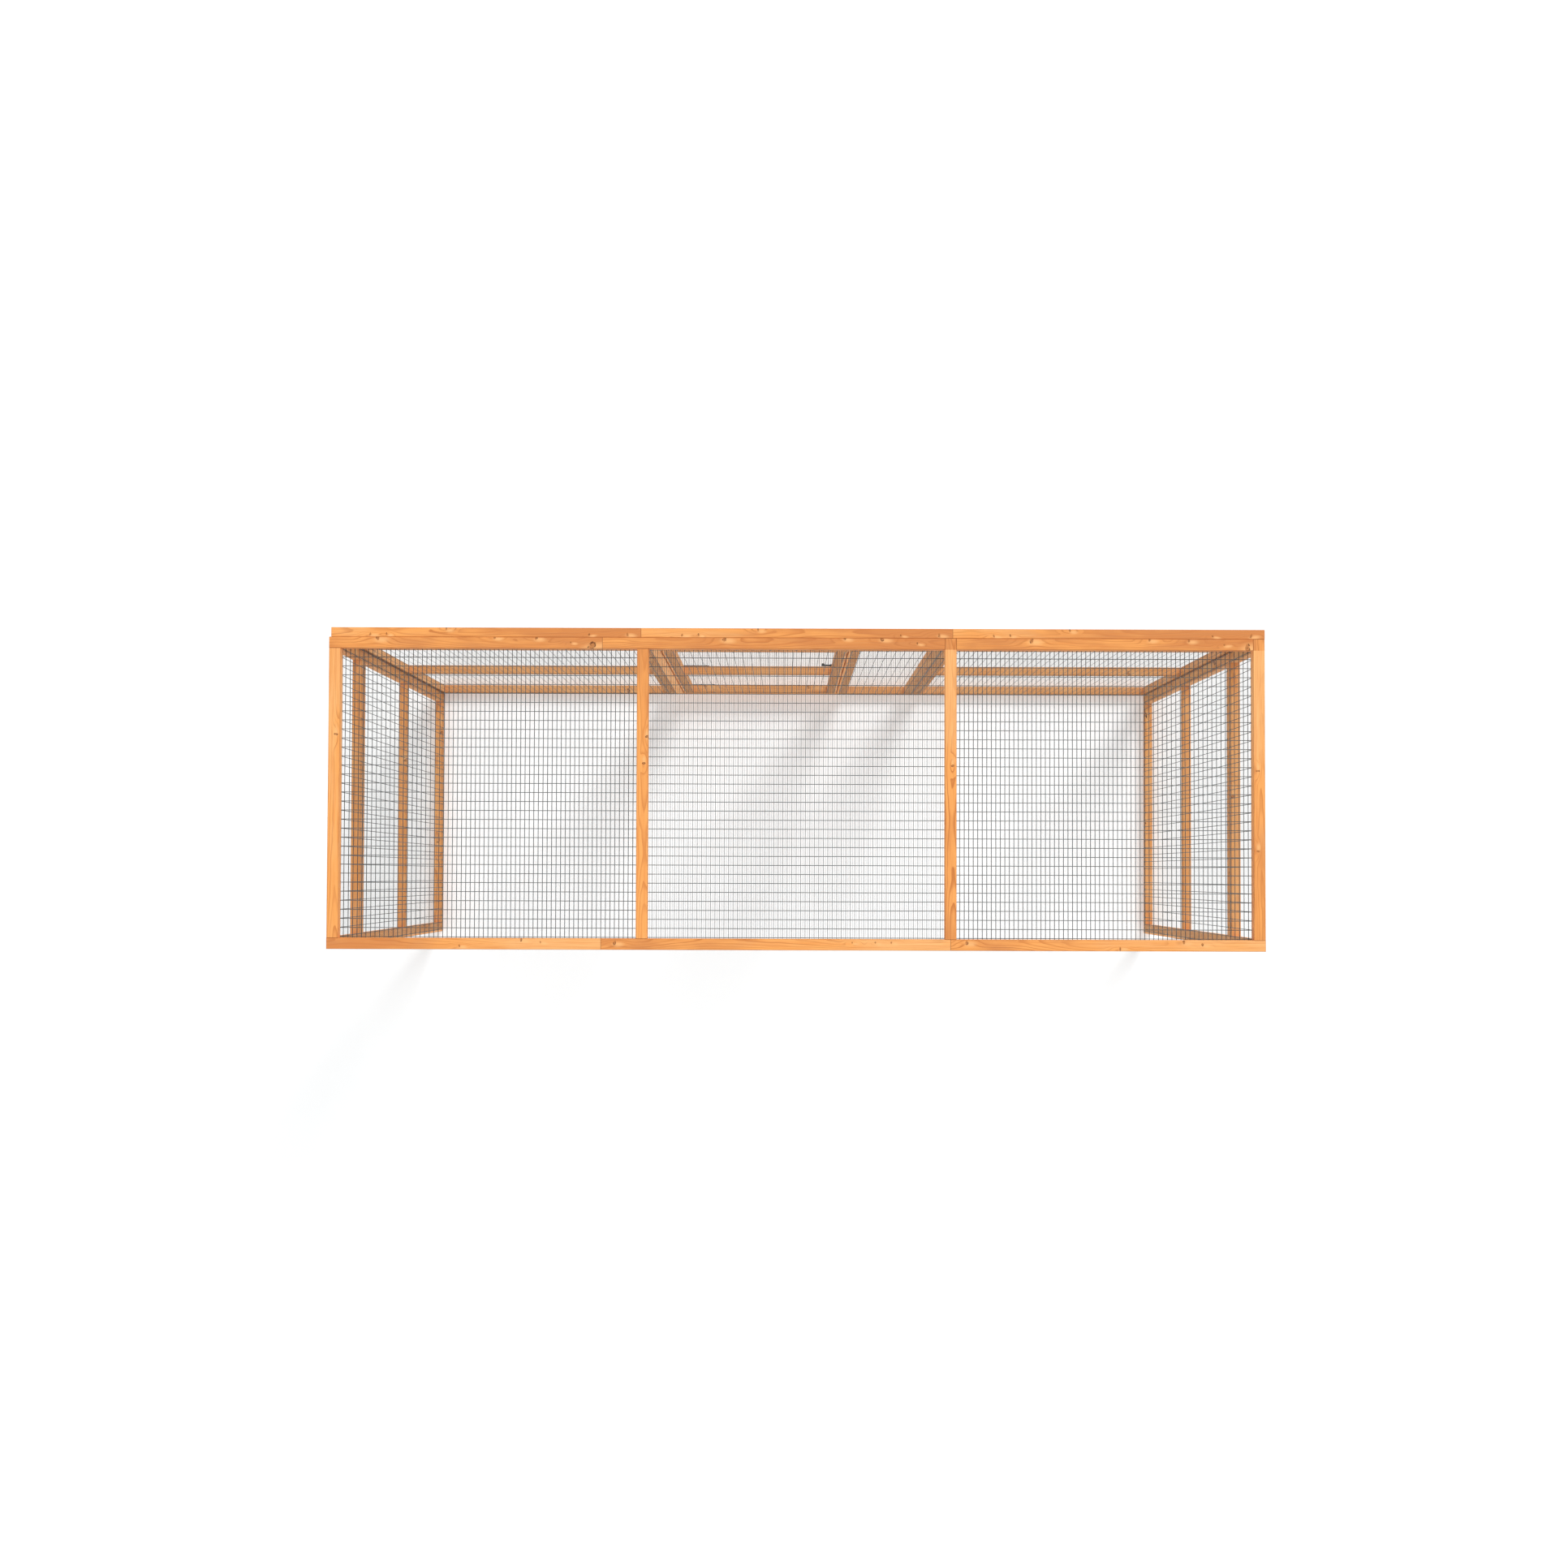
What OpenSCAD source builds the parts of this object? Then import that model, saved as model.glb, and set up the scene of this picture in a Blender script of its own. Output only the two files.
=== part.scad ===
// Lean-to cat enclosure: framed wire panels, three bays wide, with a hinged door in the middle bay.
// Millimetres, +Z up. The front wall faces -Y and the open back faces +Y.
// Left is -X and right is +X, as seen by a person who stands in front of the door.
// The origin is under the middle of the whole enclosure, on the ground.

/* [Enclosure] */
// Width of one front panel; the enclosure is three of them wide
bay_w = 914; // [800:1:1100]
// Depth of a side panel, from the front wall's inner face to the back
panel_d = 914; // [600:1:1200]
// Height of the whole enclosure
wall_h = 2265; // [2150:1:2500]
// Height of the lower side panels, which is also the underside of the door's head rail
lower_h = 1829; // [1600:1:1900]
// Height of the middle of every middle rail
mid_z = 920; // [700:1:1100]

/* [Timber] */
// Thickness of the wall timber, measured through the wall
frame_t = 28; // [20:1:45]
// Face width of an upright
stile_w = 35; // [28:1:50]
// Height of a rail
rail_h = 38; // [28:1:50]
// Width of a rafter, seen from above
rafter_w = 34; // [28:1:45]
// Height of the roof timber
rafter_h = 36; // [28:1:60]
// Width of the roof's two long rails, seen from above
roof_rail_w = 33; // [28:1:45]
// How far the front wall's top rail stops short of the right corner
top_rail_short = 6; // [0:0.5:12]
// Distance from the middle to the butt joint in the roof's long rails
roof_joint_x = 570; // [500:1:900]
// Width of the planed-off edge on every length of timber
arris = 1.5; // [0.5:0.1:3]
// Gap where two lengths of timber butt together
butt_gap = 0.3; // [0.2:0.1:0.8]

/* [Door] */
// Width of the door
door_w = 580; // [420:1:640]
// Gap round the door
door_gap = 3; // [2:0.5:6]

/* [Wire net] */
// Thickness of the net
net_t = 1.6; // [1:0.1:3]
// Width of a bar of the net
net_bar = 5; // [2:0.5:8]
// Spacing of the net's close bars, which each panel rounds to a whole number of gaps
close_pitch = 120; // [100:1:220]
// Spacing of the wide bars that cross them, rounded in the same way
wide_pitch = 240; // [200:1:440]
// How far a net's edge stays back from the outer edge of its frame
net_inset = 8; // [4:1:14]
// Gap between a net and the next net or frame at a corner
net_gap = 1; // [0.5:0.5:3]

/* [Hinges] */
// Radius of a hinge pin
pin_r = 2.5; // [2:0.1:3.5]
// Wall of a hinge barrel round its pin
barrel_wall = 2.4; // [1.5:0.1:4]
// Running clearance of the pin in its barrel, on the radius
pin_clear = 0.05; // [0.02:0.01:0.1]
// Clearance between a barrel and whatever turns past it
barrel_gap = 0.3; // [0.2:0.1:0.8]
// Thickness of the hinge's plates
leaf_t = 3; // [2:0.1:4]
// Length of a strap, from its pin to its tip
strap_len = 124; // [90:1:200]
// Width of a strap at its barrel
strap_w = 28; // [20:1:34]
// Width of a strap at its round tip
strap_tip_w = 18; // [12:1:20]
// Height of a hinge's fixed plate
flange_h = 90; // [80:1:110]
// Reach of the fixed plate past its pin
flange_w = 33; // [26:1:34]
// Height of each barrel on the fixed plate
flange_barrel_h = 20; // [12:1:24]
// Height of a pin's head
pin_head_h = 1.5; // [1:0.5:3]
// How far a pin's head stands out past its pin
pin_head_lip = 1.4; // [1:0.1:2]

/* [Bolt] */
// Radius of the sliding rod
rod_r = 3; // [2.5:0.1:4]
// Clearance of the rod in its guides, on the radius
rod_clear = 0.06; // [0.03:0.01:0.1]
// Thickness of the bolt's plates
bolt_plate_t = 1.5; // [1:0.1:3]
// Height of the bolt's plates
bolt_plate_h = 24; // [18:1:30]
// Space between the rod and its plate
rod_lift = 0.5; // [0.3:0.1:1]
// Wall of a guide round the rod
guide_wall = 1.6; // [1.2:0.1:3]
// Length of each of the two guides on the door
guide_len = 8; // [5:0.5:9]
// Length of the keeper's guide on the post
keeper_len = 6; // [4:0.5:8]
// Length of the keeper's plate
keeper_plate_len = 22; // [14:1:24]
// Set-back of the keeper from the post's edge
keeper_back = 4; // [2:0.5:8]
// Set-back of the first guide from the door's edge
guide_set = 2; // [1:0.5:4]
// Clear distance between the two guides on the door
guide_span = 21; // [16:1:24]
// Travel of the bolt
bolt_travel = 18; // [16:0.5:20]
// How far the rod's tip stays inside its first guide when it is drawn back
tip_back = 1; // [0.5:0.5:3]
// Length of the bevel on the rod's tip
tip_bevel = 1; // [0.5:0.1:2]
// Radius of the knob
knob_r = 5; // [4:0.5:6]
// Radius of the knob's neck
neck_r = 2.4; // [1.5:0.1:3]
// Height of the knob's rim
knob_rim = 2.5; // [1:0.1:4]
// Height of the bevels above and below the knob's rim
knob_bevel = 1.25; // [0.5:0.05:2]
// Gap between the knob and its guide when the bolt is shot
knob_gap = 1; // [0.5:0.5:3]
// Height of the knob's top above the door's face
knob_h = 12; // [11:0.5:20]

/* [Hidden] */
$fn = 48;

timber_colour = [0.93, 0.60, 0.32];
rafter_colour = [0.97, 0.66, 0.38];
net_colour = [0.42, 0.44, 0.44];
iron_colour = [0.09, 0.08, 0.08];

// Depths, front to back
total_d = panel_d + frame_t + knob_h;
y_back = total_d / 2;
y_in = y_back - panel_d;
y_face = y_in - frame_t;

// Widths, from the middle outwards
x_seam = bay_w / 2;
x_out = x_seam + bay_w;
x_side_in = x_out - frame_t;
x_end_rafter = x_out - rafter_w / 2;
x_rafter = x_end_rafter / 3;

// Heights
roof_z = wall_h - rafter_h;
stile_top = wall_h - rail_h;
mid_z0 = mid_z - rail_h / 2;
net_top = roof_z - net_inset;
head_mid_z = lower_h + rail_h / 2;

// The door, and the post that it closes beside
x_hinge_edge = x_seam - stile_w - door_gap;
x_latch_edge = x_hinge_edge - door_w;
x_post = x_latch_edge - door_gap;
door_z0 = rail_h + door_gap;
door_z1 = lower_h - door_gap;
door_rail_len = door_w - 2 * stile_w;

// Hinges: one on each rail of the door
barrel_r = pin_r + barrel_wall;
x_pin = x_hinge_edge + door_gap / 2;
y_pin = y_face - barrel_r - barrel_gap;
flange_barrel_z = strap_w / 2 + barrel_gap;
hinge_z = [door_z0 + rail_h / 2, mid_z, door_z1 - rail_h / 2];

// Bolt, drawn back: places are measured from the door's latch edge, towards the hinges
rod_y = y_face - bolt_plate_t - rod_lift - rod_r;
guide_r = rod_r + guide_wall;
guide2_set = guide_set + guide_len + guide_span;
tip_set = guide_set + tip_back;
knob_set = guide2_set + guide_len + bolt_travel + knob_gap + knob_r;
keeper_set = door_gap + keeper_back;

// Section of a length of timber, with its four long edges planed off
module section(w, h) {
    polygon([
        [arris, 0], [w - arris, 0], [w, arris], [w, h - arris],
        [w - arris, h], [arris, h], [0, h - arris], [0, arris]
    ]);
}

// Timber that runs along X from x0 to x1, d deep and h high
module timber_x(x0, x1, y0, z0, d, h) {
    translate([x0, y0, z0])
        rotate([90, 0, 90])
            linear_extrude(x1 - x0)
                section(d, h);
}

// Timber that runs along Y from y0 to y1, w wide and h high
module timber_y(y0, y1, x0, z0, w, h) {
    translate([x0, y1, z0])
        rotate([90, 0, 0])
            linear_extrude(y1 - y0)
                section(w, h);
}

// Timber that stands from z0 to z1, w wide and d deep
module timber_z(z0, z1, x0, y0, w, d) {
    translate([x0, y0, z0])
        linear_extrude(z1 - z0)
            section(w, d);
}

// Timber along X in lengths that butt together at the places between the first and the last
module timber_lengths(ends, y0, z0, d, h) {
    last = len(ends) - 2;
    for (i = [0:last]) {
        x0 = ends[i] + (i > 0 ? butt_gap / 2 : 0);
        x1 = ends[i + 1] - (i < last ? butt_gap / 2 : 0);
        timber_x(x0, x1, y0, z0, d, h);
    }
}

// Makes a piece of the right side on side 1, and its mirror image on side -1
module on_side(side) {
    mirror([side < 0 ? 1 : 0, 0, 0])
        children();
}

// Flat net, w by h, with a whole number of gaps each way, at about the given pitches
module net(w, h, pitch_x, pitch_y) {
    across = max(1, round((w - net_bar) / pitch_x));
    up = max(1, round((h - net_bar) / pitch_y));
    step_x = (w - net_bar) / across;
    step_y = (h - net_bar) / up;
    linear_extrude(net_t)
        difference() {
            square([w, h]);
            for (i = [0:across - 1], j = [0:up - 1])
                translate([net_bar + i * step_x, net_bar + j * step_y])
                    square([step_x - net_bar, step_y - net_bar]);
        }
}

// Net on the inner face of the front wall, between two heights
module front_wall_net(x0, x1, z0, z1) {
    color(net_colour)
        translate([x0, y_in + net_t, z0])
            rotate([90, 0, 0])
                net(x1 - x0, z1 - z0, wide_pitch, close_pitch);
}

// Net on the inner face of the right side wall, between two heights
module side_wall_net(z0, z1) {
    y0 = y_in + net_t + net_gap;
    color(net_colour)
        translate([x_side_in - net_t, y0, z0])
            rotate([90, 0, 90])
                net(y_back - net_inset - y0, z1 - z0, wide_pitch, close_pitch);
}

// Net under the rafters
module under_roof_net(x0, x1) {
    y0 = y_in + net_t + net_gap;
    color(net_colour)
        translate([x0, y0, roof_z - net_t])
            net(x1 - x0, y_back - net_inset - y0, close_pitch, wide_pitch);
}

// Front wall
module front_corner_stile(side) {
    color(timber_colour)
        on_side(side)
            timber_z(0, stile_top, x_out - stile_w, y_face, stile_w, frame_t);
}

module front_seam_stiles(side) {
    color(timber_colour)
        on_side(side)
            for (x = [x_seam - stile_w, x_seam + butt_gap / 2])
                timber_z(0, stile_top, x, y_face, stile_w - butt_gap / 2, frame_t);
}

module front_rail(side, z0) {
    color(timber_colour)
        on_side(side)
            timber_x(x_seam + stile_w, x_out - stile_w, y_face, z0, frame_t, rail_h);
}

module front_top_rails() {
    color(timber_colour)
        timber_lengths([-x_out, -x_seam, x_seam, x_out - top_rail_short],
            y_face, stile_top, frame_t, rail_h);
}

module threshold() {
    color(timber_colour)
        timber_x(-x_seam + stile_w, x_seam - stile_w, y_face, 0, frame_t, rail_h);
}

module head_rail() {
    color(timber_colour)
        timber_x(-x_seam + stile_w, x_seam - stile_w, y_face, lower_h, frame_t, rail_h);
}

module latch_post() {
    color(timber_colour)
        timber_z(rail_h, lower_h, x_post - stile_w, y_face, stile_w, frame_t);
}

// Side walls: a lower framed panel with a shorter one standing on it
module side_posts(side, y0) {
    color(timber_colour)
        on_side(side) {
            timber_z(0, lower_h - butt_gap / 2, x_side_in, y0, frame_t, stile_w);
            timber_z(lower_h + butt_gap / 2, roof_z, x_side_in, y0, frame_t, stile_w);
        }
}

module side_rail(z0, h) {
    timber_y(y_in + stile_w, y_back - stile_w, x_side_in, z0, frame_t, h);
}

module side_single_rail(side, z0) {
    color(timber_colour)
        on_side(side)
            side_rail(z0, rail_h);
}

module side_double_rail(side) {
    color(timber_colour)
        on_side(side)
            for (z = [lower_h - rail_h, lower_h + butt_gap / 2])
                side_rail(z, rail_h - butt_gap / 2);
}

// Roof
module roof_front_rail() {
    left = [-x_end_rafter + rafter_w / 2, -x_rafter - rafter_w / 2];
    right = [-x_rafter + rafter_w / 2, roof_joint_x, x_out];
    color(timber_colour)
        for (ends = [left, right])
            timber_lengths(ends, y_in, roof_z, roof_rail_w, rafter_h);
}

module roof_back_rail() {
    color(timber_colour)
        timber_lengths([-x_out, -x_rafter, roof_joint_x, x_out],
            y_back - roof_rail_w, roof_z, roof_rail_w, rafter_h);
}

// A rafter that runs past the end of the front rail, or one that stops against its inner face
module rafter(x, past_rail) {
    y0 = past_rail ? y_in : y_in + roof_rail_w;
    color(rafter_colour)
        timber_y(y0, y_back - roof_rail_w, x - rafter_w / 2, roof_z, rafter_w, rafter_h);
}

// Nets
module front_net(side) {
    on_side(side)
        front_wall_net(x_seam + net_inset, x_side_in - net_gap, net_inset, net_top);
}

module transom_net() {
    front_wall_net(-x_seam + net_inset, x_seam - net_inset, head_mid_z + net_gap, net_top);
}

module sidelight_net() {
    front_wall_net(-x_seam + net_inset, x_post - net_inset, net_inset, head_mid_z - net_gap);
}

module door_net() {
    front_wall_net(x_latch_edge + net_inset, x_hinge_edge - net_inset,
        door_z0 + net_inset, door_z1 - net_inset);
}

module side_lower_net(side) {
    on_side(side)
        side_wall_net(net_inset, lower_h - net_inset);
}

module side_upper_net(side) {
    on_side(side)
        side_wall_net(lower_h + net_inset, net_top);
}

module roof_net_end(side) {
    on_side(side)
        under_roof_net(x_rafter + net_gap, x_side_in - net_gap);
}

module roof_net_middle() {
    under_roof_net(-x_rafter + net_gap, x_rafter - net_gap);
}

// Door
module door_stile(x0) {
    color(timber_colour)
        timber_z(door_z0, door_z1, x0, y_face, stile_w, frame_t);
}

module door_rail(z0) {
    color(timber_colour)
        timber_x(x_latch_edge + stile_w, x_latch_edge + stile_w + door_rail_len,
            y_face, z0, frame_t, rail_h);
}

// Tee hinges: a plate on the frame, a strap on the door and a headed pin through both
module barrel_bore() {
    translate([x_pin, y_pin, -flange_h])
        cylinder(r = pin_r + pin_clear, h = 2 * flange_h);
}

module hinge_flange() {
    barrel_end = flange_barrel_z + flange_barrel_h;
    plate_x = x_pin + barrel_r + barrel_gap;
    difference() {
        union() {
            // Plate, clear of the strap's barrel and of the pin's heads
            translate([plate_x, y_face - leaf_t, -flange_h / 2])
                cube([x_pin + flange_w - plate_x, leaf_t, flange_h]);
            for (z = [flange_barrel_z, -barrel_end]) {
                translate([x_pin, y_pin, z])
                    cylinder(r = barrel_r, h = flange_barrel_h);
                // Root that joins the barrel to the plate
                translate([x_pin, y_face - leaf_t, z])
                    cube([flange_w, leaf_t, flange_barrel_h]);
            }
        }
        barrel_bore();
    }
}

module hinge_flanges() {
    color(iron_colour)
        for (z = hinge_z)
            translate([0, 0, z])
                hinge_flange();
}

module hinge_pin() {
    reach = flange_barrel_z + flange_barrel_h;
    translate([x_pin, y_pin, -reach])
        cylinder(r = pin_r, h = 2 * reach);
    for (z = [reach, -reach - pin_head_h])
        translate([x_pin, y_pin, z])
            cylinder(r = pin_r + pin_head_lip, h = pin_head_h);
}

module hinge_pins() {
    color(iron_colour)
        for (z = hinge_z)
            translate([0, 0, z])
                hinge_pin();
}

// Outline of a strap, seen from the front, with its pin at the origin
module strap_outline() {
    tip_x = strap_tip_w / 2 - strap_len;
    polygon([[0, -strap_w / 2], [0, strap_w / 2], [tip_x, strap_tip_w / 2], [tip_x, -strap_tip_w / 2]]);
    translate([tip_x, 0])
        circle(d = strap_tip_w);
}

module hinge_strap() {
    difference() {
        union() {
            translate([x_pin, y_face, 0])
                rotate([90, 0, 0])
                    linear_extrude(leaf_t)
                        strap_outline();
            translate([x_pin, y_pin, -strap_w / 2])
                cylinder(r = barrel_r, h = strap_w);
        }
        barrel_bore();
    }
}

module hinge_straps() {
    color(iron_colour)
        for (z = hinge_z)
            translate([0, 0, z])
                hinge_strap();
}

// Bolt: a guide is a loop that stands on its plate, with the rod's bore through it
module bolt_guide(x0, length) {
    translate([x0, 0, mid_z])
        rotate([90, 0, 90])
            linear_extrude(length)
                difference() {
                    union() {
                        translate([rod_y, 0])
                            circle(r = guide_r);
                        translate([rod_y, -guide_r])
                            square([y_face - bolt_plate_t - rod_y, 2 * guide_r]);
                    }
                    translate([rod_y, 0])
                        circle(r = rod_r + rod_clear);
                }
}

module bolt_base(x0, length) {
    translate([x0, y_face - bolt_plate_t, mid_z - bolt_plate_h / 2])
        cube([length, bolt_plate_t, bolt_plate_h]);
}

module bolt_plate() {
    color(iron_colour) {
        bolt_base(x_latch_edge + guide_set, guide2_set + guide_len);
        bolt_guide(x_latch_edge + guide_set, guide_len);
        bolt_guide(x_latch_edge + guide2_set, guide_len);
    }
}

module bolt_keeper() {
    color(iron_colour) {
        bolt_base(x_latch_edge - keeper_set - keeper_plate_len, keeper_plate_len);
        bolt_guide(x_latch_edge - keeper_set - keeper_len, keeper_len);
    }
}

// Turned knob: a neck, and a rim with a bevel on either side of it
module knob_turning(height) {
    rim_top = height - knob_bevel;
    rim_base = rim_top - knob_rim;
    rotate_extrude()
        polygon([
            [0, 0], [neck_r, 0], [neck_r, rim_base - knob_bevel], [knob_r, rim_base],
            [knob_r, rim_top], [knob_r - knob_bevel, height], [0, height]
        ]);
}

module bolt_rod() {
    tip_x = x_latch_edge + tip_set;
    tail_x = x_latch_edge + knob_set + knob_r;
    color(iron_colour)
        union() {
            translate([tip_x, rod_y, mid_z])
                rotate([0, 90, 0])
                    cylinder(r1 = rod_r - tip_bevel, r2 = rod_r, h = tip_bevel);
            translate([tip_x + tip_bevel, rod_y, mid_z])
                rotate([0, 90, 0])
                    cylinder(r = rod_r, h = tail_x - tip_x - tip_bevel);
            translate([x_latch_edge + knob_set, rod_y, mid_z])
                rotate([90, 0, 0])
                    knob_turning(knob_h - (y_face - rod_y));
        }
}

front_corner_stile(-1);  // front_corner_stile_left
front_corner_stile(1);  // front_corner_stile_right
front_seam_stiles(-1);  // front_seam_stiles_left
front_seam_stiles(1);  // front_seam_stiles_right
front_rail(-1, 0);  // front_bottom_rail_left
front_rail(1, 0);  // front_bottom_rail_right
front_rail(-1, mid_z0);  // front_mid_rail_left
front_rail(1, mid_z0);  // front_mid_rail_right
front_rail(-1, lower_h);  // front_upper_rail_left
front_rail(1, lower_h);  // front_upper_rail_right
front_top_rails();
threshold();
head_rail();
latch_post();
side_posts(-1, y_in);  // side_front_posts_left
side_posts(1, y_in);  // side_front_posts_right
side_posts(-1, y_back - stile_w);  // side_back_posts_left
side_posts(1, y_back - stile_w);  // side_back_posts_right
side_single_rail(-1, 0);  // side_bottom_rail_left
side_single_rail(1, 0);  // side_bottom_rail_right
side_single_rail(-1, mid_z0);  // side_mid_rail_left
side_single_rail(1, mid_z0);  // side_mid_rail_right
side_double_rail(-1);  // side_double_rail_left
side_double_rail(1);  // side_double_rail_right
side_single_rail(-1, roof_z - rail_h);  // side_top_rail_left
side_single_rail(1, roof_z - rail_h);  // side_top_rail_right
roof_front_rail();
roof_back_rail();
rafter(-x_end_rafter, true);  // rafter_end_left
rafter(-x_rafter, true);  // rafter_left
rafter(x_rafter, false);  // rafter_right
rafter(x_end_rafter, false);  // rafter_end_right
front_net(-1);  // front_net_left
front_net(1);  // front_net_right
transom_net();
sidelight_net();
side_lower_net(-1);  // side_lower_net_left
side_lower_net(1);  // side_lower_net_right
side_upper_net(-1);  // side_upper_net_left
side_upper_net(1);  // side_upper_net_right
roof_net_end(-1);  // roof_net_left
roof_net_middle();
roof_net_end(1);  // roof_net_right
door_stile(x_hinge_edge - stile_w);  // door_hinge_stile
door_stile(x_latch_edge);  // door_latch_stile
door_rail(door_z1 - rail_h);  // door_top_rail
door_rail(mid_z0);  // door_mid_rail
door_rail(door_z0);  // door_bottom_rail
door_net();
hinge_flanges();
hinge_pins();
hinge_straps();
bolt_plate();
bolt_rod();
bolt_keeper();
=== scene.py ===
# %% [markdown]
# # Cat enclosure
#
# A lean-to run for cats: three framed wire panels make the front, four the sides, and a wire roof lies
# under four rafters. The shapes of the timber and the iron come finished from the CAD model. Blender adds
# what the eye expects next: the grain and knots of stained softwood, the real fine wire, its staples, the
# screws, and light.
#
# The imported model is loaded first, and its box is kept. Its box is kept, because the finished picture has
# to stay the same size.

# %% Load the enclosure
import math
import random

import bpy
from mathutils import Matrix, Vector


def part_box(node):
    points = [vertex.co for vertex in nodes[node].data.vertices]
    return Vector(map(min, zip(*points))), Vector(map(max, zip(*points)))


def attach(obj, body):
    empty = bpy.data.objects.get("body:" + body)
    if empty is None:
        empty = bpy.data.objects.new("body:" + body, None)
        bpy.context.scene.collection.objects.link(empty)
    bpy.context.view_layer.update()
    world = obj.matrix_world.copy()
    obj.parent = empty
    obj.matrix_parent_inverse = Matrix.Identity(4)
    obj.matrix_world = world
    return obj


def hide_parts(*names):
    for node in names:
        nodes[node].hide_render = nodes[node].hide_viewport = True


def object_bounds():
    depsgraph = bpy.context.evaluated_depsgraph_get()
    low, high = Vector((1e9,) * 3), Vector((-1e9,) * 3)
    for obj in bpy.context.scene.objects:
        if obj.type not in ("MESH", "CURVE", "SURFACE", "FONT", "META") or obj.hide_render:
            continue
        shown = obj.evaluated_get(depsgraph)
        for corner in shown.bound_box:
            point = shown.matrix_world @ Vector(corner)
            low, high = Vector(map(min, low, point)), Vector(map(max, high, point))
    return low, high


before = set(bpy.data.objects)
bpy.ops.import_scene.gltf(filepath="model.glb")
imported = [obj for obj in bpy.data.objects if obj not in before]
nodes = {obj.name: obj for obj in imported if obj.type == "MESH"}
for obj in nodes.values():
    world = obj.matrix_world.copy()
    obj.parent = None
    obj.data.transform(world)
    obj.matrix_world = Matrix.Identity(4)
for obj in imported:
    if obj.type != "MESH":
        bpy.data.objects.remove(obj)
cad_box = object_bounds()
bpy.context.scene.view_settings.view_transform = "Standard"
print("nodes:", len(nodes), "box in mm:", [[round(v * 1000) for v in corner] for corner in cad_box])


def pick_nothing():
    """Deselects everything, because an operator acts on all that is selected."""
    if bpy.context.object and bpy.context.object.mode != "OBJECT":
        bpy.ops.object.mode_set(mode="OBJECT")
    bpy.ops.object.select_all(action="DESELECT")


def pick_parts(kind, wanted):
    """Opens the active mesh for editing with only the wanted parts picked. kind is VERT, EDGE or FACE."""
    bpy.ops.object.mode_set(mode="EDIT")
    bpy.ops.mesh.select_mode(type=kind)
    bpy.ops.mesh.select_all(action="DESELECT")
    bpy.ops.object.mode_set(mode="OBJECT")
    mesh = bpy.context.object.data
    for part in {"VERT": mesh.vertices, "EDGE": mesh.edges, "FACE": mesh.polygons}[kind]:
        part.select = wanted(part)
    bpy.ops.object.mode_set(mode="EDIT")


# %% [markdown]
# ## Camera
#
# The photograph was taken from far above, a little behind the enclosure's middle, looking almost straight
# down. A camera is easily placed by three directions: where it looks, what is to its right, and what is up.
# They are the columns of its turning matrix. The tilt and the roll were worked out from the edges of the
# timber.

# %% Camera above the roof
camera_place = Vector((0.0366, 0.2556, 9.5204))
camera_tilt = 0.0364
camera_roll = 0.0031

looks = Vector((0, -math.sin(camera_tilt), -math.cos(camera_tilt)))
level_right = Vector((-1, 0, 0))
level_up = Vector((0, -math.cos(camera_tilt), math.sin(camera_tilt)))
right = math.cos(camera_roll) * level_right + math.sin(camera_roll) * level_up
up = math.cos(camera_roll) * level_up - math.sin(camera_roll) * level_right

camera_data = bpy.data.cameras.new("camera")
camera_data.lens = 56.997
camera_data.sensor_width = 36
camera = bpy.data.objects.new("camera", camera_data)
bpy.context.scene.collection.objects.link(camera)
camera.matrix_world = Matrix.Translation(camera_place) @ Matrix((right, up, -looks)).transposed().to_4x4()
bpy.context.scene.camera = camera
print("camera at", [round(v, 3) for v in camera_place], "lens", camera_data.lens)


# %% [markdown]
# ## Node recipes
#
# A procedural material is a small circuit of nodes. Written out link by link it takes a page, so this
# helper gives each kind of step one line. A value may be a number, or the output of an earlier step, which
# is linked.

# %% A helper that writes node circuits
class Circuit:
    """Adds steps to one node tree. Each method returns the output of the node that it adds."""

    def __init__(self, tree):
        self.tree = tree

    def add(self, kind, fed=None, **settings):
        node = self.tree.nodes.new(kind)
        for name, value in settings.items():
            setattr(node, name, value)
        for place, value in (fed or {}).items():
            self.feed(node.inputs[place], value)
        return node

    def feed(self, socket, value):
        if isinstance(value, bpy.types.NodeSocket):
            self.tree.links.new(value, socket)
        else:
            socket.default_value = value

    def sum(self, operation, *values):
        fed = dict(enumerate(values))
        return self.add("ShaderNodeMath", fed, operation=operation).outputs[0]

    def vector(self, operation, *values, out=0):
        node = self.add("ShaderNodeVectorMath", operation=operation)
        for socket, value in zip([s for s in node.inputs if s.enabled], values):
            self.feed(socket, value)
        return node.outputs[out]

    def step(self, value, low, high, start=0.0, end=1.0):
        """A soft step from start to end while value goes from low to high."""
        fed = dict(enumerate([value, low, high, start, end]))
        return self.add("ShaderNodeMapRange", fed, interpolation_type="SMOOTHSTEP").outputs[0]

    def noise(self, where, scale, detail=2.0, rough=0.5, out=0):
        fed = {"Vector": where, "Scale": scale, "Detail": detail, "Roughness": rough}
        return self.add("ShaderNodeTexNoise", fed).outputs[out]

    def blend(self, share, first, second):
        fed = {0: share, 6: first, 7: second}
        return self.add("ShaderNodeMix", fed, data_type="RGBA").outputs[2]

    def group(self, group, **fed):
        node = self.add("ShaderNodeGroup", node_tree=group)
        for name, value in fed.items():
            self.feed(node.inputs[name], value)
        return node.outputs


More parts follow.
